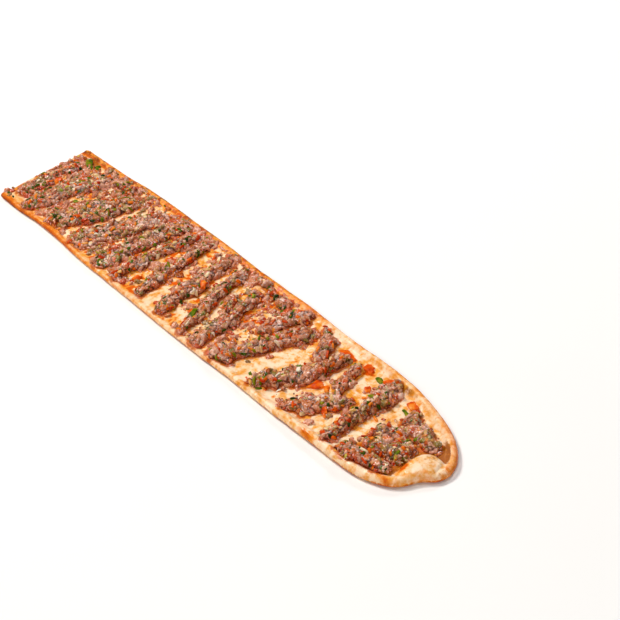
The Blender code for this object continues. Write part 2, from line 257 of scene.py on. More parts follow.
def cellNoise(points, size, seed):
    # One jittered spot in each cube of this size: distance to the nearest and to the second nearest in cube
    # widths, and the nearest one's own random number
    scaled = points / size
    cell = np.floor(scaled).astype(np.int64)
    nearest = np.full(points.shape[:-1], 9.0)
    second = nearest.copy()
    own = np.zeros(points.shape[:-1])
    for offset in np.ndindex(3, 3, 3):
        near = cell + np.array(offset) - 1
        spot = near + np.stack([cellRandom(near, seed + 101 * k) for k in range(3)], axis=-1)
        away = np.sqrt(((scaled - spot) ** 2).sum(-1))
        closer = away < nearest
        second = np.where(closer, nearest, np.minimum(second, away))
        own = np.where(closer, cellRandom(near, seed + 404), own)
        nearest = np.where(closer, away, nearest)
    return nearest, second, own


def pebble(nearest, reach=0.72):
    # A rounded bump over each spot: a half ellipse that falls to zero at this reach
    return np.sqrt(unit(1 - (nearest / reach) ** 2))


def gridFaces(rows, columns, first=0):
    # Quads of a grid of points stored row by row
    start = first + np.arange(rows - 1)[:, None] * columns + np.arange(columns - 1)[None, :]
    return np.stack([start, start + 1, start + columns + 1, start + columns], axis=-1).reshape(-1, 4)


def flatAt(flat, height=0):
    # Plan points with a height as the third column
    height = np.asarray(height, float)[..., None]
    return np.concatenate([flat, np.broadcast_to(height, flat.shape[:-1] + (1,))], -1)


def gridCross(grid):
    # The cross product of a grid's two directions of change, whose length is each point's share of the skin
    return np.cross(np.gradient(grid, axis=0), np.gradient(grid, axis=1))


def makePiece(name, points, faces, material, attributes, replaced=(), mend=True):
    # Millimetre points and lists of corners as one smooth mesh in the frame, riding on the body
    mesh = bpy.data.meshes.new(name)
    faces = faces.tolist() if isinstance(faces, np.ndarray) else faces
    mesh.from_pydata((points - origin) / metre, [], faces)
    for key, values in attributes.items():
        layer = mesh.attributes.new(key, "FLOAT", "POINT")
        layer.data.foreach_set("value", np.ascontiguousarray(values, np.float32).ravel())
    if mend:
        work = bmesh.new()
        work.from_mesh(mesh)
        bmesh.ops.remove_doubles(work, verts=work.verts, dist=mendDistance)
        bmesh.ops.dissolve_degenerate(work, dist=mendDistance, edges=work.edges)
        bmesh.ops.recalc_face_normals(work, faces=work.faces)
        work.to_mesh(mesh)
        work.free()
    mesh.shade_smooth()
    mesh.materials.append(material)
    piece = standObject(name, mesh)
    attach(piece, "root")
    if replaced:
        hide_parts(*replaced)


bread = {
    "tipX": 534.4,
    # x and half width of the -Y side, then of the +Y side, up to where each rounding starts
    "lowerWidths": ((0, 48.6), (40, 48.8), (66, 47), (95, 46.8), (150, 47.8), (200, 48.3), (260, 47.8),
                    (320, 47.4), (352, 46.1), (400, 45.4), (440, 45.2), (474, 44.4)),
    "upperWidths": ((0, 45.2), (28, 45.6), (65, 46.9), (100, 48.6), (140, 49.3), (180, 48.8), (240, 47.2),
                    (300, 46.1), (340, 45), (380, 43.6), (423, 42.6)),
    "boxMiddleY": 0.75,  # mm from the middle line to the middle of the node's box
    "edgeWave": 0.4,
    "lowerWavelength": 21,
    "upperWavelength": 17,
    "cutSlant": 5,
    "cutWave": 0.9,
    "cutFade": 18,  # mm along which the lines come to follow the cut
    "cornerDraw": 6,
    "cornerFromY": 38,
    "base": 3.2,
    "lowestBit": 1,  # mm above the underside, the lowest that anything lying on the dough reaches
    "farRise": 1.3,  # height and width of the rim at the cut end and at the tip, and where it grows
    "tipRise": 3.6,
    "farRimWidth": 6.5,
    "tipRimWidth": 9.5,
    "growFromX": 300,
    "growToX": 470,
    "crestShare": 0.42,  # share of the rim's width where it is at its highest
    "edgeMid": 0.42,  # share of the height where the edge stands out furthest
    "edgeRounding": 0.62,
    "underRounding": 2.4,
    "outlineSteps": 520,
}

lip = {
    "centre": (522, -12.5),
    "halfSize": (13.6, 17.5),
    "roundness": 2.8,  # 2 is an oval, more is squarer
    "rise": 6.4,
    "squareness": 4,  # how flat its top is before it turns down
    "fallY": 0.45,  # share of its rise lost towards -Y
    "fallX": 0.4,  # and towards the tip
    "seamX": 8,  # mm from its centre to the groove where it meets the rim
    "seamBend": 4,
    "seamDepth": 0.9,
    "seamWidth": 1.2,
    "dentCentre": (527.7, -19.5),  # the outline is drawn in beside the fold
    "dentDepth": 4.6,
    "dentReach": 10.5,
}

dough = {
    "stations": 590,
    "rimSteps": (0, 0.1, 0.3, 0.6, 1, 1.5, 2.1, 2.8, 3.5, 4.3, 5.1, 5.9, 6.7, 7.5, 8.3, 9.2, 10.3, 11.6, 13),
    "innerSteps": 46,
    "underEvery": 4,  # the underside has one column for this many above
    "capRows": 5,
    "rimUneven": 0.22,  # share of the rim's rise and width that comes and goes
    "outlineUneven": 0.45,  # mm
    "blister": 0.75,  # height of the largest soft bubbles
    "ripple": 0.28,
    "swell": 0.25,  # mm that slow waves lift the middle, and that the cut face swells
    "underRipple": 0.12,
}


def cutX(y):
    # The cut end: a slant plus a sine of the width, drawn in at the +Y corner, which came off rounded
    slant = bread["cutSlant"] * (0.5 - y / (2 * bread["lowerWidths"][0][1]))
    corner = bread["cornerDraw"] * np.clip((y - bread["cornerFromY"]) / 8, 0, 1.2) ** 2.5
    return np.maximum(slant, 0) + bread["cutWave"] * (1 + np.sin(y / 9)) + corner


def sideWidth(x, side):
    # A side's widths joined up, plus a sine, times a quarter ellipse beyond the last of them
    places, values = np.transpose(bread[side + "Widths"])
    share = unit((x - places[-1]) / (bread["tipX"] - places[-1]))
    wave = bread["edgeWave"] * np.sin(x / bread[side + "Wavelength"] + 1) * (1 - share)
    return (np.interp(x, places, values) + wave) * np.sqrt(1 - share**2)


def edgeLine(side, sign):
    # One long edge from the cut to the tip: even steps, then even angles of the ellipse, dented beside the
    # lip and read again at even lengths
    steps, roundX = bread["outlineSteps"], bread[side + "Widths"][-1][0]
    straight = np.linspace(0, roundX, steps)[:-1]
    angle = np.linspace(0, math.pi / 2, steps)
    x = np.concatenate([straight, roundX + (bread["tipX"] - roundX) * np.sin(angle)])
    y = sign * sideWidth(x, side)
    y[-1] = 0
    away = np.hypot(x - lip["dentCentre"][0], y - lip["dentCentre"][1]) / lip["dentReach"]
    dent = lip["dentDepth"] * np.exp(-(away**2))
    x, y = x - 0.6 * dent, y - sign * 0.8 * dent
    length = np.concatenate([[0], np.cumsum(np.hypot(np.diff(x), np.diff(y)))])
    even = np.linspace(0, length[-1], steps)
    line = np.column_stack([np.interp(even, length, x), np.interp(even, length, y)])
    # hand-stretched: noise moves each point along the line's normal, fading at the cut and the tip
    run = np.gradient(line, axis=0)
    outward = np.column_stack([-run[:, 1], run[:, 0]]) / np.hypot(run[:, 0], run[:, 1])[:, None]
    count = np.arange(steps)
    move = dough["outlineUneven"] * planNoise(line, 22, 5)
    move *= smoothStep(count, 0, 12) * smoothStep(steps - 1 - count, 0, 12)
    return line + move[:, None] * outward


edgeLines = (edgeLine("lower", -1), edgeLine("upper", 1))
doughLow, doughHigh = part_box("dough")
# what takes a point of the frame to the cut end's middle: the node's box against the tip and the middle line
origin = np.array([
    bread["tipX"] - doughHigh.x * metre,
    bread["boxMiddleY"] - (doughLow.y + doughHigh.y) / 2 * metre,
    -doughLow.z * metre,
])


def edgeDistance(flat):
    # Shortest distance from each plan point to the two edge lines, a few thousand points at a time
    best = []
    for block in np.array_split(flat, max(len(flat) // 4000, 1)):
        found = np.full(len(block), np.inf)
        for line in edgeLines:
            start, run = line[:-1], np.diff(line, axis=0)
            offset = block[:, None, :] - start[None]
            share = unit((offset * run).sum(2) / (run**2).sum(1))
            found = np.minimum(found, ((offset - share[..., None] * run) ** 2).sum(2).min(1))
        best.append(np.sqrt(found))
    return np.concatenate(best)


def lipReach(flat):
    # 0 at the lip's centre and 1 on its outline, a squared oval
    x = np.abs(flat[..., 0] - lip["centre"][0]) / lip["halfSize"][0]
    y = np.abs(flat[..., 1] - lip["centre"][1]) / lip["halfSize"][1]
    return (x ** lip["roundness"] + y ** lip["roundness"]) ** (1 / lip["roundness"])


def blisters(flat, seed, size, share):
    # Round soft bubbles on a share of the cells: a raised cosine over the nearest spot, stronger in some
    nearest, _, own = cellNoise(flatAt(flat, seed * 13.7), size, seed)
    return np.where(own < share, 0.5 + 0.5 * np.cos(np.pi * unit(nearest / 0.5)), 0) * (0.4 + own)


def plainRim(flat, inward, riseUneven=1, widthUneven=1):
    # The rim's raised cosine: level to its crest, then down to nothing over its width, larger at the tip
    growth = smoothStep(flat[:, 0], bread["growFromX"], bread["growToX"])
    rise = (bread["farRise"] + (bread["tipRise"] - bread["farRise"]) * growth) * riseUneven
    width = (bread["farRimWidth"] + (bread["tipRimWidth"] - bread["farRimWidth"]) * growth) * widthUneven
    fall = unit((inward / width - bread["crestShare"]) / (1 - bread["crestShare"]))
    return rise * 0.5 * (1 + np.cos(math.pi * fall))


def doughHeight(flat, inward):
    # Base, plus the larger of the rim and the lip's flattened dome, plus slow waves and blisters
    rim = plainRim(flat, inward, 1 + dough["rimUneven"] * planNoise(flat, 26, 11),
                   1 + 0.7 * dough["rimUneven"] * planNoise(flat, 18, 12))
    reach = lipReach(flat)
    x, y = flat[:, 0], flat[:, 1]
    across = (y - lip["centre"][1]) / lip["halfSize"][1]
    fold = lip["rise"] * np.sqrt(unit(1 - reach ** lip["squareness"]))
    fold = fold * (1 - lip["fallX"] * smoothStep(x, lip["centre"][0] - 4, bread["tipX"]))
    fold = fold * (1 - lip["fallY"] * smoothStep(-across, -0.2, 0.9))
    seam = x - (lip["centre"][0] + lip["seamX"] - lip["seamBend"] * across**2)
    groove = np.exp(-((seam / lip["seamWidth"]) ** 2)) * (np.abs(across) < 1)
    fold = fold - lip["seamDepth"] * groove * (fold > 0)
    middle = smoothStep(inward, 1, 7)
    wave = dough["swell"] * np.sin(x / 19) * np.sin(y / 15 + 0.7)
    wave += dough["ripple"] * planNoise(flat, 7, 21)
    wave += dough["blister"] * blisters(flat, 3, 17, 0.42) * (0.25 + 0.75 * middle)
    wave += 0.5 * dough["blister"] * blisters(flat, 4, 7, 0.4) * (0.3 + 0.7 * middle)
    return bread["base"] + np.maximum(rim, fold) + wave * (1 - 0.6 * (reach < 1))


def doughTop(flat):
    # The full height, rounded over at the edge by a quarter ellipse
    inward = edgeDistance(flat)
    height = doughHeight(flat, inward)
    over = unit(1 - inward / (bread["edgeRounding"] * height))
    return height * (bread["edgeMid"] + (1 - bread["edgeMid"]) * np.sqrt(1 - over**2)), inward, height


def doughUnder(inward, height):
    # Flat, and rounded up to the edge by a quarter ellipse
    under = unit(1 - inward / bread["underRounding"])
    return bread["edgeMid"] * height * (1 - np.sqrt(1 - under**2))


def doughPlan():
    # Plan points of the dough, station by station, from the -Y edge over the middle line to the +Y edge. The
    # ends of all lines follow the cut, and less so further along.
    stations = np.linspace(0, 1, dough["stations"])
    steps = np.linspace(0, 1, bread["outlineSteps"])
    ends = [np.column_stack([np.interp(stations, steps, line[:, k]) for k in (0, 1)]) for line in edgeLines]
    spineX = (ends[0][:, 0] + ends[1][:, 0]) / 2 - 30 * smoothStep(stations, 0.72, 1)
    middle = np.column_stack([spineX, np.zeros(len(stations))])
    inner = np.linspace(1, 0, dough["innerSteps"] + 1)[1:]
    halves = []
    for end in ends:
        run = end - middle
        rimShare = 1 - np.array(dough["rimSteps"]) / np.hypot(run[:, 0], run[:, 1])[:, None]
        share = np.concatenate([rimShare, rimShare[:, -1:] * inner], axis=1)
        halves.append(middle[:, None] + share[..., None] * run[:, None])
    plan = np.concatenate([halves[0], halves[1][:, -2::-1]], axis=1)
    plan[..., 0] += cutX(plan[..., 1]) * np.exp(-plan[..., 0] / bread["cutFade"])
    return plan


def buildFloorMap():
    # The dough's top on an even grid of one millimetre, which the topping is laid on
    x, y = np.arange(-6.0, 542.0), np.arange(-56.0, 57.0)
    flat = np.stack(np.meshgrid(x, y, indexing="ij"), axis=-1)
    return x, y, doughTop(flat.reshape(-1, 2))[0].reshape(len(x), len(y))


floorMap = buildFloorMap()


def floorAt(flat):
    # Height of the dough's top under plan points, blended from the four nearest points of the map
    mapX, mapY, table = floorMap
    x = np.clip(flat[..., 0] - mapX[0], 0, len(mapX) - 1.001)
    y = np.clip(flat[..., 1] - mapY[0], 0, len(mapY) - 1.001)
    i, j = x.astype(int), y.astype(int)
    a, b = x - i, y - j
    return ((1 - a) * (1 - b) * table[i, j] + a * (1 - b) * table[i + 1, j]
            + (1 - a) * b * table[i, j + 1] + a * b * table[i + 1, j + 1])


topping = {
    "spacing": 0.6,  # mm between the points of a ridge's skin
    "sink": 0.9,  # mm that a ridge's foot goes into the dough
    "domePower": 3.4,
    "cutPower": 1.7,  # pressed down where the knife went through
    "cutHeight": 0.72,
    "cutShort": 6,  # mm of bare dough more at the -Y corner of the cut
    "longer": 3,  # mm that a ridge's ends reach beyond its node, loosely
    "longerFar": 2,  # the same for the +Y ends in the far half
    # mm off a ridge's lit side and its shaded side
    "plainTrim": (1, 2.5),
    "trims": {7: (1, 5), 8: (0.5, 8), 9: (7, 5), 10: (0.5, 5), 12: (0.5, 6), 14: (0.5, 2),
              16: (1, 6), 18: (0.5, 6), 20: (1.5, 5), 1: (0.5, 1), 21: (5.5, -1.5), 22: (0, -2),
              23: (0, 0)},
    "leastWidth": 1.5,
    "outline": 3,  # mm that a ridge's foot wanders out or in
    "lump": 1.5,  # mm, slow swelling of the whole ridge
    "chunk": 1.15,  # mm, height of the chunks of meat
    "chunkSize": 6.6,  # mm from one chunk to the next
    "crumb": 0.4,
    "crumbSize": 3.1,
    "fine": 0.2,
    "fineSize": 1.7,
    "twist": 3.4,  # mm that the chunks are bent out of a plain pattern
}


def nodePoints(name):
    # A node's own vertices, each once, in this script's millimetres
    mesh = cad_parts[name].data
    flatList = np.empty(len(mesh.vertices) * 3, np.float32)
    mesh.vertices.foreach_get("co", flatList)
    return np.unique(np.round(flatList.reshape(-1, 3).astype(float) * metre, 3), axis=0) + origin


def longestDirection(flat):
    # The direction in which plan points spread most, as the first singular vector about their mean
    return np.linalg.svd(flat - flat.mean(0), full_matrices=False)[2][0]


def readMound(name):
    # The longest direction of the node's plan, a parabola through its points along that direction, and on
    # each side of it the foot's offset at every place that the node has one
    points = nodePoints(name)
    flat = points[:, :2]
    middle, axis = flat.mean(0), longestDirection(flat)
    side = np.array([-axis[1], axis[0]])
    if side @ (1, -0.6) < 0:
        axis, side = -axis, -side
    along, across = (flat - middle) @ axis, (flat - middle) @ side
    bend = np.polyfit(along, across, 2)
    offset = across - np.polyval(bend, along)
    trims = topping["trims"].get(int(name[-2:]), topping["plainTrim"])
    # the foot's points are those that lie close to the plain dough
    plainFloor = bread["base"] + plainRim(flat, edgeDistance(flat)) + 0.3
    isFoot = (points[:, 2] - plainFloor < 0.75) & (np.abs(offset) > 1.4)
    sides = []
    for sign, trim in ((1, trims[1]), (-1, trims[0])):
        chosen = (sign * offset > 0) & isFoot
        order = np.argsort(along[chosen])
        reach = np.maximum(np.abs(offset[chosen][order]) - trim, topping["leastWidth"])
        sides.append((along[chosen][order], reach))
    return {"name": name, "middle": middle, "axis": axis, "side": side, "bend": bend, "from": along.min(),
            "to": along.max(), "sides": sides, "height": points[:, 2].max() - points[:, 2].min()}


def moundGrid(mound, seed):
    # A loaf along the mound's line, as high as the root of (1 - |v|^power)(1 - u^6), with u along and v
    # across. Its foot is moved by noise.
    isFar = mound["middle"][0] < bread["growFromX"] and abs(mound["axis"][1]) > 0.7
    isCut = mound["name"].endswith("ridge_01")
    more = topping["longerFar"] if isFar and mound["middle"][1] < 12 else topping["longer"]
    up = np.sign(mound["axis"][1]) if isFar else 0
    less = topping["longer"] * (30 < mound["middle"][0] < bread["growToX"])
    start = mound["from"] - (more if up < 0 else less)
    end = mound["to"] + (more if up > 0 else less)
    if isCut:
        start += topping["cutShort"] * (mound["axis"][1] > 0)
        end -= topping["cutShort"] * (mound["axis"][1] < 0)
    length = end - start
    wide = max(np.max(values) for _, values in mound["sides"]) * 2
    rows = int(length / topping["spacing"]) + 16
    columns = int((wide + 8) / topping["spacing"]) + 8
    even = np.linspace(-1, 1, rows)
    u = 0.55 * even + 0.45 * np.sin(even * math.pi / 2)
    v = np.sin(np.linspace(-1, 1, columns) * math.pi / 2)
    along = (start + end) / 2 + u * length / 2
    spine = np.polyval(mound["bend"], along)
    within = mound["from"] + (along - start) / length * (mound["to"] - mound["from"])
    half = [np.interp(within, [mound["from"], *places, mound["to"]], [0, *values, 0])
            for places, values in mound["sides"]]
    reach = np.where(v[None, :] > 0, half[0][:, None], half[1][:, None]) * np.abs(v)[None, :]
    offset = spine[:, None] + np.sign(v)[None, :] * reach
    flat = mound["middle"] + along[:, None, None] * mound["axis"] + offset[..., None] * mound["side"]
    inLength = 1 - u[:, None] ** 6
    push = topping["outline"] * planNoise(flat, 9, seed)
    push = push[..., None] * (np.abs(v) ** 2)[None, :, None] * np.sign(v)[None, :, None] * mound["side"]
    flat = flat + push * inLength[..., None]
    towardsCut = isCut & (np.sign(v) * mound["side"][0] < 0)
    power = np.where(towardsCut, topping["cutPower"], topping["domePower"])
    dome = np.sqrt(unit((1 - np.abs(v) ** power)[None, :] * inLength))
    height = (mound["height"] + topping["sink"]) * (topping["cutHeight"] if isCut else 1)
    lump = topping["lump"] * planNoise(flat, 11, seed + 7, 2) * dome
    return flatAt(flat, floorAt(flat) - topping["sink"] + (height * dome + lump)), dome


def meatRelief(grid, seed):
    # Meat in chunks: each cell of the coarse noise is a flat-topped chunk at its own height with a crease
    # round it. Smaller rounded cells stand on it where a slow noise lets them, and fine noise covers all. The
    # creases are also darkened in colour, as painted shade.
    warp = np.stack([layeredNoise(grid, 6, seed + k) for k in (1, 2, 3)], axis=-1)
    twisted = grid + topping["twist"] * warp
    nearest, second, own = cellNoise(twisted, topping["chunkSize"], 60)
    small, smallSecond, smallOwn = cellNoise(twisted + 0.6 * warp, topping["crumbSize"], 61)
    plateau = smoothStep(second - nearest, 0, 0.3)
    loose = smoothStep(smoothNoise(grid, 8, seed + 5), -0.6, 0.4)
    relief = topping["chunk"] * (plateau * (0.35 + 1.1 * own) - 0.6)
    relief += topping["crumb"] * loose * (pebble(small, 0.9) - 0.5) * (0.5 + smallOwn)
    relief += topping["fine"] * layeredNoise(grid, topping["fineSize"], seed + 9, 2)
    # painted shade in the creases round the smaller cells, where they stand
    smallCreaseShade = 0.5 * loose * smoothDrop(smallSecond - small, 0, 0.12)
    looks = {
        "tint": unit(0.65 * own + 0.35 * smallOwn),
        # painted shade: darker in the creases round the chunks and the smaller cells
        "paintedShade": np.maximum(smoothDrop(second - nearest, 0, 0.16), smallCreaseShade),
        "red": smoothStep(smallOwn, 0.9, 0.94),
        "green": smoothDrop(smallOwn - 0.07 * farShare(grid[..., 0]), 0.07, 0.1),
    }
    normal = gridCross(grid)
    return grid + normal / np.maximum(lengthOf(normal), 1e-9) * relief[..., None], looks


def makeMeatMaterial(name):
    # Minced beef and lamb, oven baked on the dough: pink-brown meat mixed with tomato, pepper and onion cut
    # small and cooked soft, browner and oily low on the sides, under a wet film that breaks into small
    # glints. Painted shade darkens the creases, the ridges' feet and the crumbs' undersides. Noises: fibre of
    # about 2.2 mm, the bend of the bits' outlines, patches of about 12 mm, pale grains of about 1 mm that are
    # fat and also painted glints too small for the lamps to draw, and the film's dull spots.
    material, tree, place, fields, noises = startMaterial(
        name, ("tint", "oil", "paintedShade", "red", "green", "mixed"),
        ((450, 4, 0.7), (260, 2, 0.5), (80, 3, 0.6), (850, 1, 0.5), (300, 2, 0.5)))
    tint, oil, paintedShade, redBits, greenBits, mixed = fields
    fibre, bend, patches, fatGlintGrain, film = noises
    colour = addNode(tree, "ValToRGB", {"Fac": addVariation(tree, tint, fibre, 1.7)},
                     {0: "9c4408", 0.18: "c46826", 0.42: "d28e68", 0.72: "e2ac92", 1: "fae2d4"})
    # the mixture: cut bits about 4 mm across, each of one kind, with their outlines bent by noise
    bentBy = addNode(tree, "VectorMath", {0: bend.outputs["Color"], 1: (0.009, 0.009, 0.009), 2: place},
                     operation="MULTIPLY_ADD")
    bits = addNode(tree, "TexVoronoi", {"Vector": bentBy, "Scale": 245, "Randomness": 1})
    own = addNode(tree, "SeparateColor", {"Color": bits.outputs["Color"]})
    kinds = addNode(tree, "ValToRGB", {"Fac": own}, {
        0: "94502a", 0.12: "be744a", 0.3: "d89678", 0.5: "e0ae96", 0.6: "d88e4a", 0.69: "c4561a",
        0.78: "e67c28", 0.85: "c08a44", 0.89: "8a6c1e", 0.94: "c8a660", 1: "fcdaa4"})
    redTone, greenTone = [
        addNode(tree, "ValToRGB", {"Fac": fibre}, dict(zip((0.3, 0.5, 0.7), tones)))
        for tones in (("a83008", "cc4c14", "e27a40"), ("565410", "8a782c", "bca266"))]
    amount = addNode(tree, "Math", {0: mixed, 1: 0.2, 2: patches}, operation="MULTIPLY_ADD")
    spread = addNode(tree, "Math", {0: patches, 1: 1.6}, operation="MULTIPLY")
    warm = addNode(tree, "Math", {0: oil, 1: spread}, operation="MULTIPLY", use_clamp=True)
    # painted shade: the share of dark brown laid over creases, feet and the crumbs' undersides
    paintedShadeShare = addNode(tree, "Math", {0: paintedShade, 1: 0.95}, operation="MULTIPLY", use_clamp=True)
    # how worn the bits are, how much is mixture, where fat and painted glints lie, how dull the film is,
    # how the bits stand out
    worn, share, fatAndGlints, rough, dome = [
        addNode(tree, "MapRange", {"Value": value, **rangeInputs(*ends)}, interpolation_type=ease)
        for value, ends, ease in (
            (fibre, (0.3, 0.7, 0.62, 1.3), "LINEAR"), (amount, (0.5, 0.64, 0, 0.95), "SMOOTHSTEP"),
            (fatGlintGrain, (0.64, 0.72, 0, 0.85), "SMOOTHSTEP"), (film, (0.35, 0.65, 0.25, 0.75), "LINEAR"),
            (bits, (0, 0.7, 1, 0), "LINEAR"))]
    mixture = addNode(tree, "Mix", {"Factor": 1, "A": kinds, "B": worn}, data_type="RGBA",
                      blend_type="MULTIPLY")
    # laid over in turn: mixture, red and green bits, oil, fat grains with painted glints, painted shade
    for factor, over in ((share, mixture), (redBits, redTone), (greenBits, greenTone), (warm, "f09440"),
                         (fatAndGlints, "fbeef0"), (paintedShadeShare, "481600")):
        colour = addNode(tree, "Mix", {"Factor": factor, "A": colour, "B": over}, data_type="RGBA",
                         blend_type="MULTIPLY" if factor == warm else "MIX")
    height = addNode(tree, "Math", {0: fibre, 1: 1.2, 2: dome}, operation="MULTIPLY_ADD")
    bump = addNode(tree, "Bump", {"Height": height, "Strength": 0.7, "Distance": 0.0007})
    return finishMaterial(material, addNode(tree, "BsdfPrincipled", {
        "Base Color": colour, "Roughness": rough, "Normal": bump, "Coat Normal": bump, "IOR": 1.36,
        "Specular IOR Level": 0.06, "Coat Weight": 0.8, "Coat Roughness": 0.05, "Coat IOR": 1.6,
        "Subsurface Weight": 0.12, "Subsurface Radius": (1, 0.4, 0.2), "Subsurface Scale": 0.002}))


mounds = [readMound(name) for name in sorted(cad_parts) if name.startswith("meat_ridge_")]
mincedMeat = makeMeatMaterial("mincedMeatBakedMoist")
landing = {"point": [], "normal": [], "area": [], "dome": []}


def farShare(x):
    # 1 at the cut end, where fat and juice ran together, falling to 0 by the middle
    return smoothDrop(x, 60, 220)


def mixedAt(x):
    # How much of the topping is cut vegetables rather than plain meat: most in the tip, least in the middle
    return 0.4 + 0.45 * smoothStep(x, 440, 475) - 0.4 * smoothStep(x, 60, 200) * (x < 430)


def buildRidges():
    # Each ridge: the loaf, moved along its normals by the meat's relief and closed by one strip under its
    # foot. Its skin is kept as the places where loose bits land.
    for number, mound in enumerate(mounds):
        grid, dome = moundGrid(mound, 200 + 17 * number)
        moved, looks = meatRelief(grid, 300 + 13 * number)
        foot = floorAt(moved[..., :2]) - topping["sink"]
        for edge in ((slice(None), 0), (slice(None), -1), (0, slice(None)), (-1, slice(None))):
            moved[edge][..., 2] = foot[edge]
        moved[..., 2] = np.maximum(moved[..., 2], foot)
        rows, columns = moved.shape[:2]
        cross = gridCross(moved)
        area = lengthOf(cross)
        normal = cross / np.maximum(area, 1e-9)
        normal *= np.sign(normal[rows // 2, columns // 2, 2])
        left = np.arange(rows) * columns
        right = left + columns - 1
        strip = np.stack([left[:-1], left[1:], right[1:], right[:-1]], axis=-1)
        rise = moved[..., 2] - floorAt(moved[..., :2])
        looks["mixed"] = mixedAt(moved[..., 0])
        looks["oil"] = 1.05 - smoothStep(rise, 0.5, 3.8)
        # painted shade: darker still at the foot, where the ridge meets the dough
        looks["paintedShade"] = np.maximum(looks["paintedShade"], 0.45 * smoothDrop(rise, 0.1, 1.1))
        faces = np.concatenate([gridFaces(rows, columns), strip])
        makePiece(mound["name"].replace("meat_ridge", "minced_meat"), moved.reshape(-1, 3), faces, mincedMeat,
                  looks, [mound["name"]])
        mound["outline"] = np.concatenate([moved[:, 0, :2], moved[:, -1, :2]])[::2]
        for key, values in (("point", moved), ("normal", normal), ("area", area[..., 0]), ("dome", dome)):
            landing[key].append(values[3:-3, 3:-3].reshape(-1, *values.shape[2:]))
    for key in landing:
        landing[key] = np.concatenate(landing[key])
    # nothing is dropped where it would hang over the cut or over the dough's edge
    places = landing["point"][:, :2]
    isLevel = edgeDistance(places) > 3 + 2.5 * (places[:, 1] > 0)
    landing["kept"] = (places[:, 0] > cutX(places[:, 1]) + 1.5) & isLevel
    print("ridges built:", len(mounds), "with", len(landing["point"]), "points")


buildRidges()


def meatDistance(flat):
    # Distance from plan points to the nearest foot of a ridge, looked for only near each ridge
    best = np.full(len(flat), 30.0)
    for mound in mounds:
        low, high = mound["outline"].min(0) - 12, mound["outline"].max(0) + 12
        near = np.nonzero(((flat > low) & (flat < high)).all(1))[0]
        if len(near):
            away = ((flat[near][:, None] - mound["outline"][None]) ** 2).sum(-1).min(1)
            best[near] = np.minimum(best[near], np.sqrt(away))
    return best


browning = {
    # x and y of each spot's middle in mm, how far it reaches along x and y, strength
    "stains": (
        (22, 44.5, 26, 3, 0.75), (75, 46, 40, 2.6, 0.7), (147, 4, 5, 4, 0.8), (157, -25, 6, 4, 0.9),
        (146, -34, 4, 5, 0.8), (164, 27, 6, 4, 0.7), (69, -22, 2.5, 6, 0.7), (76, -42, 5, 2.5, 0.7),
        (196, 12, 5, 11, 0.95), (204, -27, 8, 5, 0.9), (208, 34, 9, 3.5, 0.9), (224, -11, 3.5, 4, 0.8),
        (241, -24, 3.5, 2.5, 0.7), (261, 18, 5, 3.5, 0.9), (283, 17, 5.5, 3, 0.9), (299, 41, 5, 7, 0.95),
        (271, -39, 5.5, 3, 0.7), (317, -25, 3.5, 7, 0.7), (348, -21, 7, 2.5, 0.8), (373, -2, 3.5, 4.5, 0.7),
        (396, 30, 10, 2.5, 0.95), (421, 27, 8, 5, 0.9), (428, -19, 5, 3.5, 0.9), (469, 26, 7, 5, 0.7),
        (469, -14, 3.5, 3, 0.7), (511.5, -19, 2.6, 6.5, 1), (317, 8, 4, 6, 0.8), (342, 38, 6, 3, 0.6),
        (180, -44, 5, 2, 0.7), (128, -6, 4, 7, 0.8), (242, 30, 4, 8, 0.8), (150, 45.5, 36, 3.2, 0.62),
        (220, 44.5, 36, 3.2, 0.6), (288, 43.5, 28, 3, 0.5)),
    "flankStain": ((511, -18, 3, 7, 0.9),),  # juice that ran up the folded lip
    # dark oil that soaked in
    "soaked": ((520, 10, 7, 10.5, 1.3), (507, -14, 2, 14, 0.8), (22, 35, 9, 7, 0.75), (500, 30, 9, 3, 0.7),
               (453, 34, 12, 2.5, 0.6), (531, -5.5, 3, 2, 0.6), (60, -36, 4, 3, 0.6)),
    # brown where the rim touched the hot stone or dried
    "scorches": ((441, -43.5, 8, 2.6, 0.55), (511, -33, 4, 2.2, 0.55), (512.6, -20.5, 1.1, 2, 0.6),
                 (450, 40.5, 20, 1.2, 0.5), (478, 37.5, 9, 1.2, 0.6), (393, -35, 1.6, 1.6, 0.5),
                 (18, 46, 16, 2.5, 0.35), (300, 45.5, 14, 2, 0.35), (205, -44, 9, 2, 0.3)),
    # how golden the +Y edge is at each x, and the -Y edge
    "farEdge": ((0, 0.95), (60, 0.95), (110, 0.85), (200, 0.78), (320, 0.6), (370, 0.25), (420, 0.28),
                (490, 0.35), (534, 0.35)),
    "nearEdge": ((0, 0.5), (110, 0.4), (200, 0.2), (330, 0.08), (400, 0.02), (450, 0.03), (510, 0.12),
                 (534, 0.22)),
}


def spotSum(flat, key):
    # The strongest of the spots at each plan point: strength times a Gaussian of the distance in reaches
    total = np.zeros(len(flat))
    for x, y, reachX, reachY, strength in browning[key]:
        away = ((flat[:, 0] - x) / reachX) ** 2 + ((flat[:, 1] - y) / reachY) ** 2
        total = np.maximum(total, strength * np.exp(-0.7 * away))
    return total


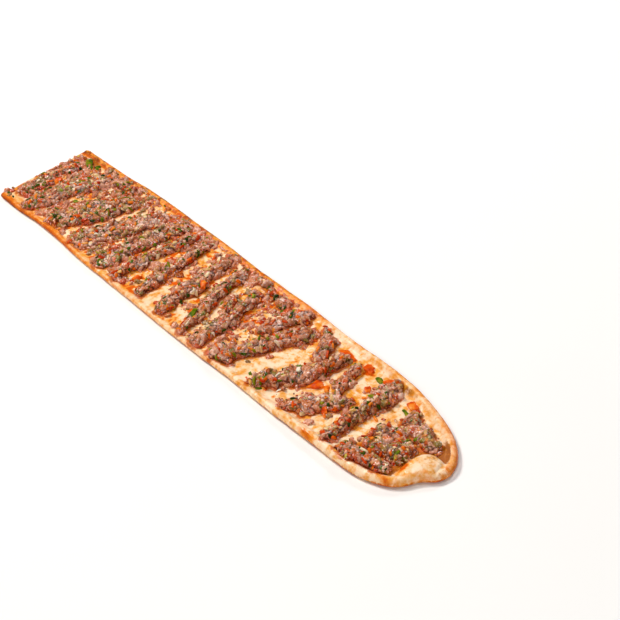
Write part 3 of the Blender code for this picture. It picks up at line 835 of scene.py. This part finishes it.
def makeDoughMaterial():
    # Thin wheat dough baked on stone: cream crumb with peach and golden areas, brown where it touched the
    # stone, and stained by fat and tomato juice near the topping, where it is also shiny. Noises: clouds of
    # about 8 mm, mottling of about 3 mm and pores of about 2 mm.
    material, tree, _, (toast, oil, stain, pale, olive), (cloud, mottle, pores) = startMaterial(
        "wheatDoughStoneBaked", ("toast", "oil", "stain", "pale", "olive"),
        ((120, 5, 0.65), (330, 4, 0.65), (500, 3, 0.6)))
    crumb = addNode(tree, "ValToRGB", {"Fac": cloud},
                    {0.35: "e08a20", 0.43: "eca44c", 0.5: "f4c48e", 0.6: "fad8b0"})
    toasted = addVariation(tree, toast, mottle, 0.5)
    broken = addNode(tree, "Math", {0: mottle, 1: 1.3, 2: -0.65}, operation="MULTIPLY_ADD")
    brown = addNode(tree, "ValToRGB", {"Fac": toasted},
                    {0: "f8b04c", 0.25: "f08e14", 0.5: "d05a00", 0.75: "9a3c02", 1: "6a2a06"})
    surface = addNode(tree, "Mix", {"Factor": pale, "A": crumb, "B": "fcdfbe"}, data_type="RGBA")
    # what lies on the crumb: baked brown, then each liquid, which soaks in with a broken edge, its own
    # strength plus the mottling cut off by a smooth step
    for field, tone, start, end, most in (
            (None, brown, 0.02, 0.42, 1), (oil, "c05404", 0.2, 0.8, 0.9), (olive, "9a4e00", 0.1, 0.6, 0.95),
            (stain, "f2a436", 0.05, 0.4, 0.9), (stain, "da5a04", 0.35, 0.75, 1)):
        amount = toasted if field is None else addNode(tree, "Math", {0: field, 1: broken}, operation="ADD")
        share = addNode(tree, "MapRange", {"Value": amount, **rangeInputs(start, end, 0, most)},
                        interpolation_type="SMOOTHSTEP")
        surface = addNode(tree, "Mix", {"Factor": share, "A": surface, "B": tone}, data_type="RGBA")
    wet = addNode(tree, "Math", {0: oil, 1: stain}, operation="ADD", use_clamp=True)
    rough = addNode(tree, "MapRange", {"Value": wet, **rangeInputs(0, 1, 0.58, 0.28)})
    bump = addNode(tree, "Bump", {"Height": pores, "Strength": 0.45, "Distance": 0.0008})
    return finishMaterial(material, addNode(tree, "BsdfPrincipled", {
        "Base Color": surface, "Roughness": rough, "Normal": bump, "Coat Normal": bump, "IOR": 1.36,
        "Specular IOR Level": 0.12, "Coat Weight": 0.3, "Coat Roughness": 0.12, "Subsurface Weight": 0.1,
        "Subsurface Radius": (1, 0.55, 0.3), "Subsurface Scale": 0.0018}))


def doughFinish(flat, inward, z, height):
    # Where the dough is browned, oily, stained, soaked and pale, each from 0 to 1
    near, reach = meatDistance(flat), lipReach(flat)
    outer = smoothDrop(inward, 0, 2.2)
    patch = planNoise(flat, 8, 71) + 0.7 * planNoise(flat, 2.6, 79)
    edges = [np.interp(flat[:, 0], *np.transpose(browning[key])) for key in ("farEdge", "nearEdge")]
    tone = np.where(flat[:, 1] > 0, *edges)
    rim = smoothDrop((inward - 1.5 - 3 * tone) / (4.5 + 3 * tone), 0, 1)
    below = smoothDrop(z / height, 0.1, 0.6)
    toast = outer * (0.03 + 0.03 * below + 0.42 * tone + 0.05 * patch) + rim * tone * (0.78 + 0.35 * patch)
    toast += 0.35 * blisters(flat, 8, 7, 0.14) * smoothDrop(inward, 3, 9)
    toast = np.maximum(toast, spotSum(flat, "scorches") * (0.8 + 0.5 * planNoise(flat, 2.5, 72)))
    toast = toast + 0.08 * smoothDrop(np.abs(reach - 0.95), 0, 0.1)
    oil = smoothDrop(near, 0.3, 3) * 0.95 + 0.3 * smoothDrop(near, 1.5, 6)
    half = smoothDrop(flat[:, 0], 300, 360)
    stain = smoothStep(planNoise(flat, 10, 75) + 0.6 * planNoise(flat, 3.5, 76), 0.04, 0.4)
    stain = stain * smoothDrop(near, 5, 14) * smoothStep(inward, 2, 5) * (0.35 + 0.65 * half)
    strokes = 0.62 + 1.5 * planNoise(flat, 3.2, 77)
    stain = unit(np.maximum(stain, spotSum(flat, "stains")) * strokes)
    stain = np.where(reach > 1, stain, spotSum(flat, "flankStain") * (0.8 + 0.6 * planNoise(flat, 2, 74)))
    pale = smoothStep(planNoise(flat, 4, 78), -0.15, 0.35) * smoothStep(near, 0.5, 2.5)
    pale = pale * (1 - 0.25 * half)
    olive = spotSum(flat, "soaked")
    olive = np.maximum(olive * smoothStep(inward, 3.5, 6.5) * (reach > 1), 0.4 * olive * (reach < 0.8))
    stain = stain * (1 - 0.8 * olive)
    found = {"toast": toast, "oil": oil * (reach > 0.99), "stain": stain, "pale": pale, "olive": olive}
    return {key: unit(values) for key, values in found.items()}


def buildDough():
    # One closed skin: the top, the underside with fewer columns, and between them the cut face, swollen by
    # half a sine where the knife pressed the crumb
    plan = doughPlan()
    rows, columns = plan.shape[:2]
    every = dough["underEvery"]
    flat = plan.reshape(-1, 2)
    top, inward, height = doughTop(flat)
    topGrid = flatAt(flat, top).reshape(rows, columns, 3)
    under = doughUnder(inward, height)
    underGrid = flatAt(flat, under).reshape(rows, columns, 3)[:, ::every]
    rim = inward.reshape(rows, columns)[:, ::every]
    uneven = dough["underRipple"] * (1 + smoothNoise(underGrid, 5, 91))
    underGrid[..., 2] += uneven * smoothStep(rim, 2.5, 5)
    share = np.linspace(0, 1, dough["capRows"] + 2)[1:]
    cap = topGrid[0] + share[:, None, None] * (flatAt(flat[:columns], under[:columns]) - topGrid[0])
    cap[..., 0] -= np.sin(np.pi * share)[:, None] * dough["swell"] * (1 + smoothNoise(cap, 2, 93))
    count, underColumns = rows * columns, underGrid.shape[1]
    points = np.concatenate([part.reshape(-1, 3) for part in (topGrid, underGrid, cap)])
    capFirst = count + rows * underColumns
    capRows = np.arange(cap.shape[0] * columns).reshape(-1, columns) + capFirst
    corner = np.concatenate([np.arange(columns)[None], capRows])
    capFaces = np.stack([corner[:-1, :-1], corner[:-1, 1:], corner[1:, 1:], corner[1:, :-1]], -1)
    faces = np.concatenate([gridFaces(rows, columns), gridFaces(rows, underColumns, count),
                            capFaces.reshape(-1, 4)]).tolist()
    # the last row of the cut face joins the coarser underside
    last = corner[-1]
    for k in range(underColumns - 1):
        faces.append([count + k, count + k + 1] + last[k * every:(k + 1) * every + 1][::-1].tolist())
    flat = points[:, :2]
    finish = doughFinish(flat, edgeDistance(flat), points[:, 2], np.maximum(floorAt(flat), 1))
    isUnder = np.arange(len(points)) >= count
    isCap = np.arange(len(points)) >= capFirst
    scorched = unit(0.42 + 0.5 * layeredNoise(points, 9, 95) + 0.3 * blisters(flat, 9, 12, 0.5))
    crumbTone = 0.05 + 0.5 * smoothDrop(points[:, 2], 0.2, 1.4)
    finish["toast"] = np.where(isCap, crumbTone, np.where(isUnder, scorched, finish["toast"]))
    for key in ("oil", "stain", "pale", "olive"):
        finish[key] = finish[key] * ~isUnder
    makePiece("baked_dough", points, faces, makeDoughMaterial(), finish, ["dough"])
    print("dough built:", len(faces), "faces")


buildDough()


def blockShape(cuts, roundness):
    # A cube's six faces, each cut into a grid, with shared points merged, and each point divided by a power
    # of its distance from the middle: power 0 leaves a cube and 1 makes a ball
    step = np.tan(np.linspace(-1, 1, cuts + 1) * math.pi / 4)
    a, b = np.meshgrid(step, step, indexing="ij")
    one = np.ones_like(a)
    sides = [(a, b, one), (b, a, -one), (one, a, b), (-one, b, a), (b, one, a), (a, -one, b)]
    points = np.concatenate([np.stack(side, axis=-1).reshape(-1, 3) for side in sides])
    faces = np.concatenate([gridFaces(cuts + 1, cuts + 1, k * (cuts + 1) ** 2) for k in range(6)])
    kept, index = np.unique(np.round(points, 6), axis=0, return_inverse=True)
    return kept / lengthOf(kept) ** roundness, index.reshape(-1)[faces]


def turnFrames(normal, rng, tilt):
    # Right-handed axes for each piece: the third near the normal, tilted by chance, the first at any angle
    up = normal + tilt * rng.normal(size=normal.shape)
    up /= lengthOf(up)
    first = np.cross(up, rng.normal(size=normal.shape))
    first /= lengthOf(first)
    return np.stack([first, np.cross(up, first), up], axis=-1)


def coverAt(flat):
    # 1 where a ridge lies over a plan point: the point falls between the two feet of some ridge
    covered = np.zeros(len(flat))
    for mound in mounds:
        offset = flat - mound["middle"]
        along, across = offset @ mound["axis"], offset @ mound["side"]
        across = across - np.polyval(mound["bend"], along)
        reach = [np.interp(along, *side, left=0, right=0) for side in mound["sides"]]
        covered = np.maximum(covered, (across < reach[0]) & (across > -reach[1]))
    return covered


def findOpenDough():
    # Plan points of the dough inside the rim that no ridge covers, and each one's share of what lies there:
    # more near the topping and all over the far half, above all along its +Y side
    x, y = np.meshgrid(np.arange(4.0, 532.0, 1.3), np.arange(-46.0, 49.0, 1.3), indexing="ij")
    x, y = x.ravel(), y.ravel()
    flat = np.column_stack([x, y])
    near = meatDistance(flat)
    inside = np.abs(y) < np.where(y < 0, sideWidth(x, "lower"), sideWidth(x, "upper"))
    patch = smoothStep(planNoise(flat, 11, 141), -0.15, 0.2)
    half = smoothDrop(x, 300, 350)
    border = np.where(y > 0, 9.5 - 4.5 * half, 6 - 0.5 * half)
    nearCut = 0.7 * (x < 110) * (y > -20)
    loose = np.exp(-near / 2.2) * (0.15 + 0.6 * patch) + half * (patch + nearCut) * (near < 10)
    loose += 0.9 * (half * (y > 24) * (x > 45)) * (0.3 + patch)
    weight = loose * inside * (edgeDistance(flat) > border) * (coverAt(flat) < 0.5) * (lipReach(flat) > 1.08)
    return flat, weight / weight.sum()


openDough = findOpenDough()


def pickLanding(rng, count, leastDome, beside):
    # Places on the ridges, more where there is more skin, then places on the dough by their shares
    weight = landing["area"] * (landing["dome"] > leastDome) * landing["kept"]
    chosen = rng.choice(len(weight), count - beside, p=weight / weight.sum())
    place, normal = landing["point"][chosen], landing["normal"][chosen]
    openFlat, share = openDough
    flat = openFlat[rng.choice(len(openFlat), beside, p=share)] + rng.uniform(-0.7, 0.7, (beside, 2))
    up = np.tile((0, 0, 1), (beside, 1))
    return np.concatenate([place, flatAt(flat, floorAt(flat))]), np.concatenate([normal, up])


def strew(rng, facts, group, lift, gap, bend, seed):
    # Copies of one block: its points times the three sizes of each copy, bent by a parabola along its
    # length, turned, moved to its landing place and off it by a share of its thickness plus a gap, made
    # uneven by noise
    count, spans, cuts, roundness, beside = facts
    shape, faces = blockShape(cuts, roundness)
    place, normal = pickLanding(rng, count, group["leastDome"], beside)
    size = np.column_stack([rng.uniform(*span, count) for span in spans])
    if group["thicknessIsShare"]:
        size[:, 2] *= size[:, 1]
    place = place + normal * (lift * size[:, 2:] + gap)
    body = np.broadcast_to(shape[None], (count, *shape.shape)).copy()
    body[..., 2] -= bend * shape[None, :, 0] ** 2 / np.maximum(size[:, 2:], 0.3)
    spread = np.einsum("nij,nvj->nvi", turnFrames(normal, rng, group["tilt"]), body * size[:, None, :])
    swell = 1 + group["uneven"] * smoothNoise(place[:, None] + spread, group["unevenSize"], seed)
    points = place[:, None] + spread * swell[..., None]
    points[..., 2] = np.maximum(points[..., 2], bread["lowestBit"])
    faces = faces[None] + np.arange(count)[:, None, None] * len(shape)
    return points.reshape(-1, 3), faces.reshape(-1, 4), place, len(shape)


crumbs = {
    # count, long and short half sizes in mm, cuts, share of the thickness sunk, how many lie beside the
    # ridges
    "kinds": {
        "lumps": (290, (2.4, 4.6), (1.7, 3), 4, 0.5, 250),
        "coarse": (800, (1.8, 3.6), (1.2, 2.3), 3, 0.7, 490),
        "medium": (1000, (1, 2), (0.7, 1.4), 3, 0.6, 540),
        "fine": (950, (0.5, 1), (0.4, 0.8), 2, 0.4, 480),
    },
    "roundness": 0.6,
    "flatness": (0.45, 0.8),  # half thickness as a share of the short half size
    "thicknessIsShare": True,
    "leastDome": 0,
    "tilt": 0.35,
    "uneven": 0.65,
    "unevenSize": 1.9,
    "tint": (0.44, 0.17),  # mean and spread
    "redShare": 0.07,
    "greenShare": 0.08,
    "greenShareFar": 0.08,  # added at the cut end
}


def buildCrumbs():
    # Loose scraps of the same mince in four sizes, each kind one mesh
    for number, (kind, (count, long, short, cuts, sunk, beside)) in enumerate(crumbs["kinds"].items()):
        rng = np.random.default_rng(40 + number)
        facts = (count, (long, short, crumbs["flatness"]), cuts, crumbs["roundness"], beside)
        points, faces, place, each = strew(rng, facts, crumbs, 0.5 - sunk, 0, 0, 500 + number)
        rise = points[:, 2] - floorAt(points[:, :2])
        below = points[:, 2] - np.repeat(place[:, 2], each)
        choice = rng.random(count)
        greenShare = crumbs["greenShare"] + crumbs["greenShareFar"] * farShare(place[:, 0])
        looks = {
            "tint": unit(rng.normal(*crumbs["tint"], count)),
            "red": (choice < crumbs["redShare"]) * 0.9,
            "green": (choice > 1 - greenShare) * 0.8,
        }
        looks = {key: np.repeat(values, each) for key, values in looks.items()}
        looks["mixed"] = mixedAt(points[:, 0])
        looks["oil"] = smoothDrop(rise, 0.3, 3) * 0.5 + 0.08
        # painted shade: darker on the part of each crumb below its landing place
        looks["paintedShade"] = 0.75 * smoothDrop(below, -1.3, -0.2)
        makePiece("meat_crumbs_" + kind, points, faces, mincedMeat, looks, mend=False)
    print("crumbs scattered")


buildCrumbs()

vegetables = {
    # count, long, short and thick half sizes in mm, squareness, bend in mm, how many lie on bare dough, slot
    "kinds": {
        "tomato_dice": (310, (1.3, 2.9), (0.8, 1.6), (0.45, 0.8), 0.6, 0.3, 70, "tomato"),
        "pepper_bits": (270, (1.3, 3.2), (0.7, 1.5), (0.4, 0.7), 0.6, 0.5, 60, "green_pepper"),
        "onion_bits": (230, (1.3, 3.2), (0.7, 1.5), (0.35, 0.6), 0.7, 0.7, 70, "minced_meat"),
        "herb_flecks": (200, (0.8, 1.7), (0.4, 0.9), (0.12, 0.2), 0.5, 0.3, 45, "green_pepper"),
        "chilli_specks": (260, (0.6, 1.3), (0.4, 0.8), (0.2, 0.35), 0.4, 0.2, 70, "tomato"),
    },
    # material, roughness, coat, subsurface and tones
    "looks": {
        "tomato_dice": ("tomatoFleshBaked", 0.42, 0.15, 0.1,
                        {0: "b02c00", 0.3: "d84c04", 0.55: "e8700e", 0.8: "f09430", 1: "f2b868"}),
        "pepper_bits": ("greenPepperBaked", 0.42, 0.15, 0.05,
                        {0: "1c3000", 0.3: "3e5800", 0.55: "6c7804", 0.8: "9a8c12", 1: "c4ac48"}),
        "onion_bits": ("onionSoftened", 0.36, 0.3, 0.25, {0: "c08a40", 0.45: "e6c08a", 1: "fcecd4"}),
        "herb_flecks": ("parsleyLeafBaked", 0.55, 0, 0, {0: "1c2e00", 0.5: "3c5c02", 1: "6c820c"}),
        "chilli_specks": ("redPepperSkin", 0.4, 0.15, 0.05, {0: "961c00", 0.5: "d03c02", 1: "e46e12"}),
    },
    "cuts": 3,
    "thicknessIsShare": False,
    "leastDome": 0.35,
    "tilt": 0.25,
    "uneven": 0.45,
    "unevenSize": 1.7,
    "tint": (0.42, 0.3),  # mean and spread
}


def makeVegetableMaterial(name, roughness, coat, subsurface, tones):
    # Cooked vegetable flesh: each piece's own tone from its tint, with mottling of about 3 mm and a wet skin
    material, tree, _, (tint,), (mottle,) = startMaterial(name, ("tint",), ((300, 3, 0.5),))
    colour = addNode(tree, "ValToRGB", {"Fac": addVariation(tree, tint, mottle, 0.7)}, tones)
    bump = addNode(tree, "Bump", {"Height": mottle, "Strength": 0.4, "Distance": 0.0005})
    return finishMaterial(material, addNode(tree, "BsdfPrincipled", {
        "Base Color": colour, "Roughness": roughness, "Normal": bump, "IOR": 1.33, "Specular IOR Level": 0.12,
        "Coat Weight": coat, "Coat Roughness": 0.1, "Subsurface Weight": subsurface,
        "Subsurface Radius": (1, 0.5, 0.3), "Subsurface Scale": 0.002}))


finishes = {kind: makeVegetableMaterial(*look) for kind, look in vegetables["looks"].items()}


def buildVegetables():
    # Small cut bits lying on the topping, each kind one mesh
    for number, (kind, facts) in enumerate(vegetables["kinds"].items()):
        count, long, short, thick, square, bend, beside, slotName = facts
        rng = np.random.default_rng(70 + number)
        facts = (count, (long, short, thick), vegetables["cuts"], 1 - 0.8 * square, beside)
        points, faces, _, each = strew(rng, facts, vegetables, 0.3, 0.2, bend, 600 + number)
        tint = np.repeat(unit(rng.normal(*vegetables["tint"], count)), each)
        makePiece(kind, points, faces, finishes[kind], {"tint": tint}, mend=False)
    print("vegetables scattered")


buildVegetables()

largest = {
    "cuts": 14,
    "roundness": 0.6,
    "uneven": 0.7,
    "unevenSize": 3,
    "lift": 0.35,
    "sag": 0.6,  # mm that the ends hang
    "sinkIn": 0.6,  # mm that a piece lies below the highest skin under it
    "nodeShare": {"tomato_dice": 0.85, "pepper_bits": 0.66},  # width of the piece as a share of its node's
    "nodeHalfHeight": 1.6,
    "tint": (0.4, 0.42),  # of the nodes' pieces and of the others
    "tintSize": (5, 3),
    "tintSpread": 0.6,
    # the other cut vegetables that show most: x and y of the two ends in mm, half width and half height
    "notable": {
        "tomato_dice": (
            (252, 3, 258, -2, 2.2, 1.4), (403, -9, 408, -5, 3.2, 1.2), (412, -3, 417, -6, 2.2, 1.2),
            (426, -16, 436, -23, 2, 1), (388, 31, 404, 29.5, 1.8, 0.7), (433, 17, 437, 14, 2.4, 1.4),
            (327, -23, 334, -26, 2, 1.2), (440, 27, 444, 31, 2.4, 1.4)),
        "pepper_bits": (
            (430, 29, 437, 26.5, 1.8, 0.9), (277, -22, 282, -30, 1.8, 1.1), (207, 33, 214, 31, 1.3, 0.8),
            (84, -3, 90, -11, 1, 0.8), (66, -8, 72, -7, 1.3, 0.9), (326, 34, 331, 32, 1.6, 1),
            (40, 33, 32, 36.5, 2.2, 0.9), (159, -36, 165, -43, 1.1, 0.8), (36, 1.5, 41, 2.5, 1.5, 1),
            (467, 20, 474, 18.5, 1.5, 0.8)),
        "onion_bits": (
            (49, 22, 56, 24.5, 1.8, 1.2), (232, 31, 240, 25, 1.4, 0.9), (493, 14.5, 499.5, 12.5, 2.2, 0.6),
            (290, -38, 295, -43, 1.2, 0.8), (137, 19, 143, 18, 1.6, 1)),
    },
}


def surfaceUnder(spot):
    # Height at a plan point: the highest skin of a ridge within a millimetre of it, or the dough
    near = np.abs(landing["point"][:, :2] - spot).max(1) < 1
    bare = float(floorAt(np.array([spot]))[0])
    return max(bare, float(landing["point"][near, 2].max(initial=bare)) - largest["sinkIn"])


def softBlock(ends, halfWidth, halfHeight, seed):
    # One soft piece between two plan points: a rounded block, sagging along its length, uneven by noise,
    # lying on whatever is below its middle
    ends = np.array(ends, float)
    middle, run = ends.mean(0), ends[1] - ends[0]
    length = np.hypot(*run)
    axis = run / length
    shape, faces = blockShape(largest["cuts"], largest["roundness"])
    size = np.array([length / 2 + halfWidth * 0.6, halfWidth, halfHeight])
    body = shape * size
    swell = layeredNoise(body + 40 * seed, largest["unevenSize"], seed, 2)[:, None]
    body *= 1 + largest["uneven"] * swell
    flat = middle + body[:, :1] * axis + body[:, 1:2] * np.array([-axis[1], axis[0]])
    lift = surfaceUnder(middle) + largest["lift"] * halfHeight
    z = lift + body[:, 2] - largest["sag"] * (body[:, 0] / size[0]) ** 2
    return flatAt(flat, np.maximum(z, bread["lowestBit"])), faces


def tintAt(points, which, seed):
    # A piece's tone: its mean plus noise
    noise = layeredNoise(points, largest["tintSize"][which], seed)
    return {"tint": unit(largest["tint"][which] + largest["tintSpread"] * noise)}


def buildLargest():
    # The nodes' own pieces, each along the middle line of its node, then the others, each kind one mesh
    for name in sorted(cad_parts):
        kind = {"tomato": "tomato_dice", "pepper": "pepper_bits"}.get(name[:6])
        if kind is None:
            continue
        flat = nodePoints(name)[:, :2]
        middle, axis = (flat.min(0) + flat.max(0)) / 2, longestDirection(flat)
        halfWidth = np.abs((flat - middle) @ np.array([-axis[1], axis[0]])).max()
        reach = np.abs((flat - middle) @ axis).max() - 0.6 * halfWidth
        ends = (middle - reach * axis, middle + reach * axis)
        points, faces = softBlock(ends, halfWidth * largest["nodeShare"][kind], largest["nodeHalfHeight"],
                                  int(name[-2:]) + 3)
        makePiece(name.replace("_piece", "_look"), points, faces, finishes[kind],
                  tintAt(points, 0, 33), [name])
    for kind, rows in largest["notable"].items():
        blocks = [softBlock(((x, y), (endX, endY)), halfWidth, halfHeight, 20 + 7 * number + len(kind))
                  for number, (x, y, endX, endY, halfWidth, halfHeight) in enumerate(rows)]
        points = np.concatenate([part for part, _ in blocks])
        faces = np.concatenate([part + number * len(blocks[0][0]) for number, (_, part) in enumerate(blocks)])
        makePiece(kind + "_large", points, faces, finishes[kind],
                  tintAt(points, 1, 34), mend=False)
    print("largest vegetable pieces placed")


buildLargest()
